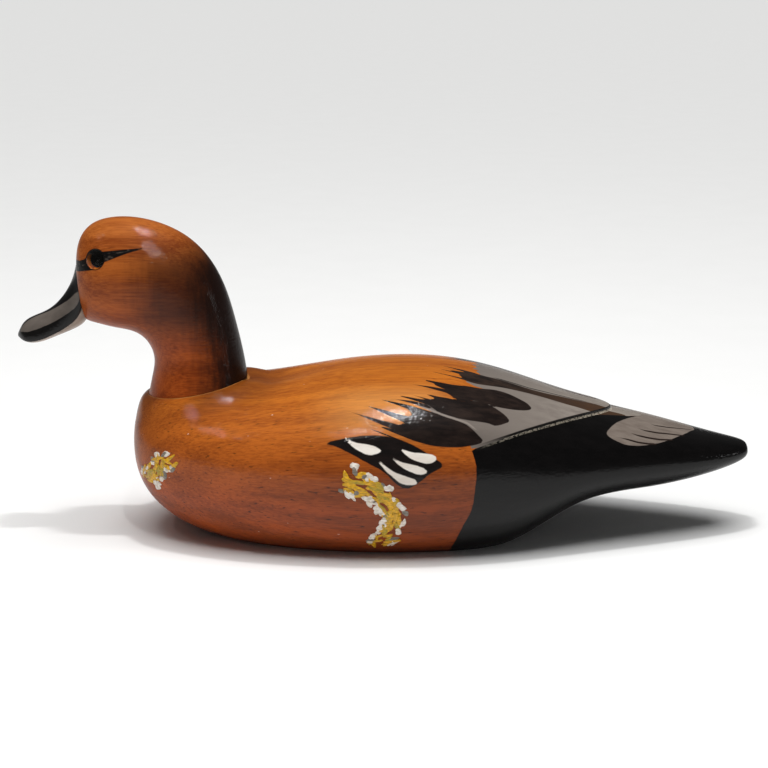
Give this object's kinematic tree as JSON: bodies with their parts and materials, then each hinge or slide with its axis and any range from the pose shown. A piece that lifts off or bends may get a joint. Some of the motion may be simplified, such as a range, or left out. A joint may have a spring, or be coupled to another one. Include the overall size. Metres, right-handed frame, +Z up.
{
  "type": "duck decoy",
  "caption": "Hollow carved wooden duck decoy with a turning head on a round neck seat, glass eyes, a screwed bottom board with flush ballast, and a swinging line ring underneath.",
  "frame": {"origin": "centre of the object's box at the flat bottom, z = 0 on the surface it rests on", "axes": "+Z up, bill towards -X and tail towards +X, the bird's left side towards -Y"},
  "size_m": [0.3782, 0.1358, 0.1634],
  "materials": {
    "body_wood": "stained and painted, gloss lacquer",
    "head_wood": "stained, gloss lacquer",
    "bill_paint": "black and grey paint, gloss lacquer",
    "board_wood": "stained, satin",
    "brass": "dulled",
    "steel": "zinc plated",
    "ballast": "cast, dull grey",
    "eye_glass": "clear, polished",
    "iris_enamel": "fired enamel with a black pupil"
  },
  "bodies": {
    "decoy_body": {"body_shell": "body_wood", "bottom_board": "board_wood", "board_screws": "brass", "ballast_weight": "ballast", "ballast_screws": "brass", "line_staple": "brass", "neck_washer": "steel", "spring_washer": "steel"},
    "turning_head": {"head": "head_wood", "bill": "bill_paint", "bill_dowel": "board_wood", "eye_glass_left": "eye_glass", "eye_glass_right": "eye_glass", "eye_iris_left": "iris_enamel", "eye_iris_right": "iris_enamel", "eye_wires": "steel", "neck_bolt": "steel", "lock_nut": "steel"},
    "tie_ring": {"line_ring": "brass"}
  },
  "joints": [
    {"name": "head_turn", "type": "hinge", "parent": "decoy_body", "child": "turning_head", "pos_m": [-0.09749, 0, 0.076], "axis": [-0.1736, 0, 0.9848], "continuous": true},
    {"name": "ring_swing", "type": "hinge", "parent": "decoy_body", "child": "tie_ring", "pos_m": [-0.06864, 0, 0.00465], "axis": [0, 1, 0], "range_deg": [-8, 110]}
  ]
}
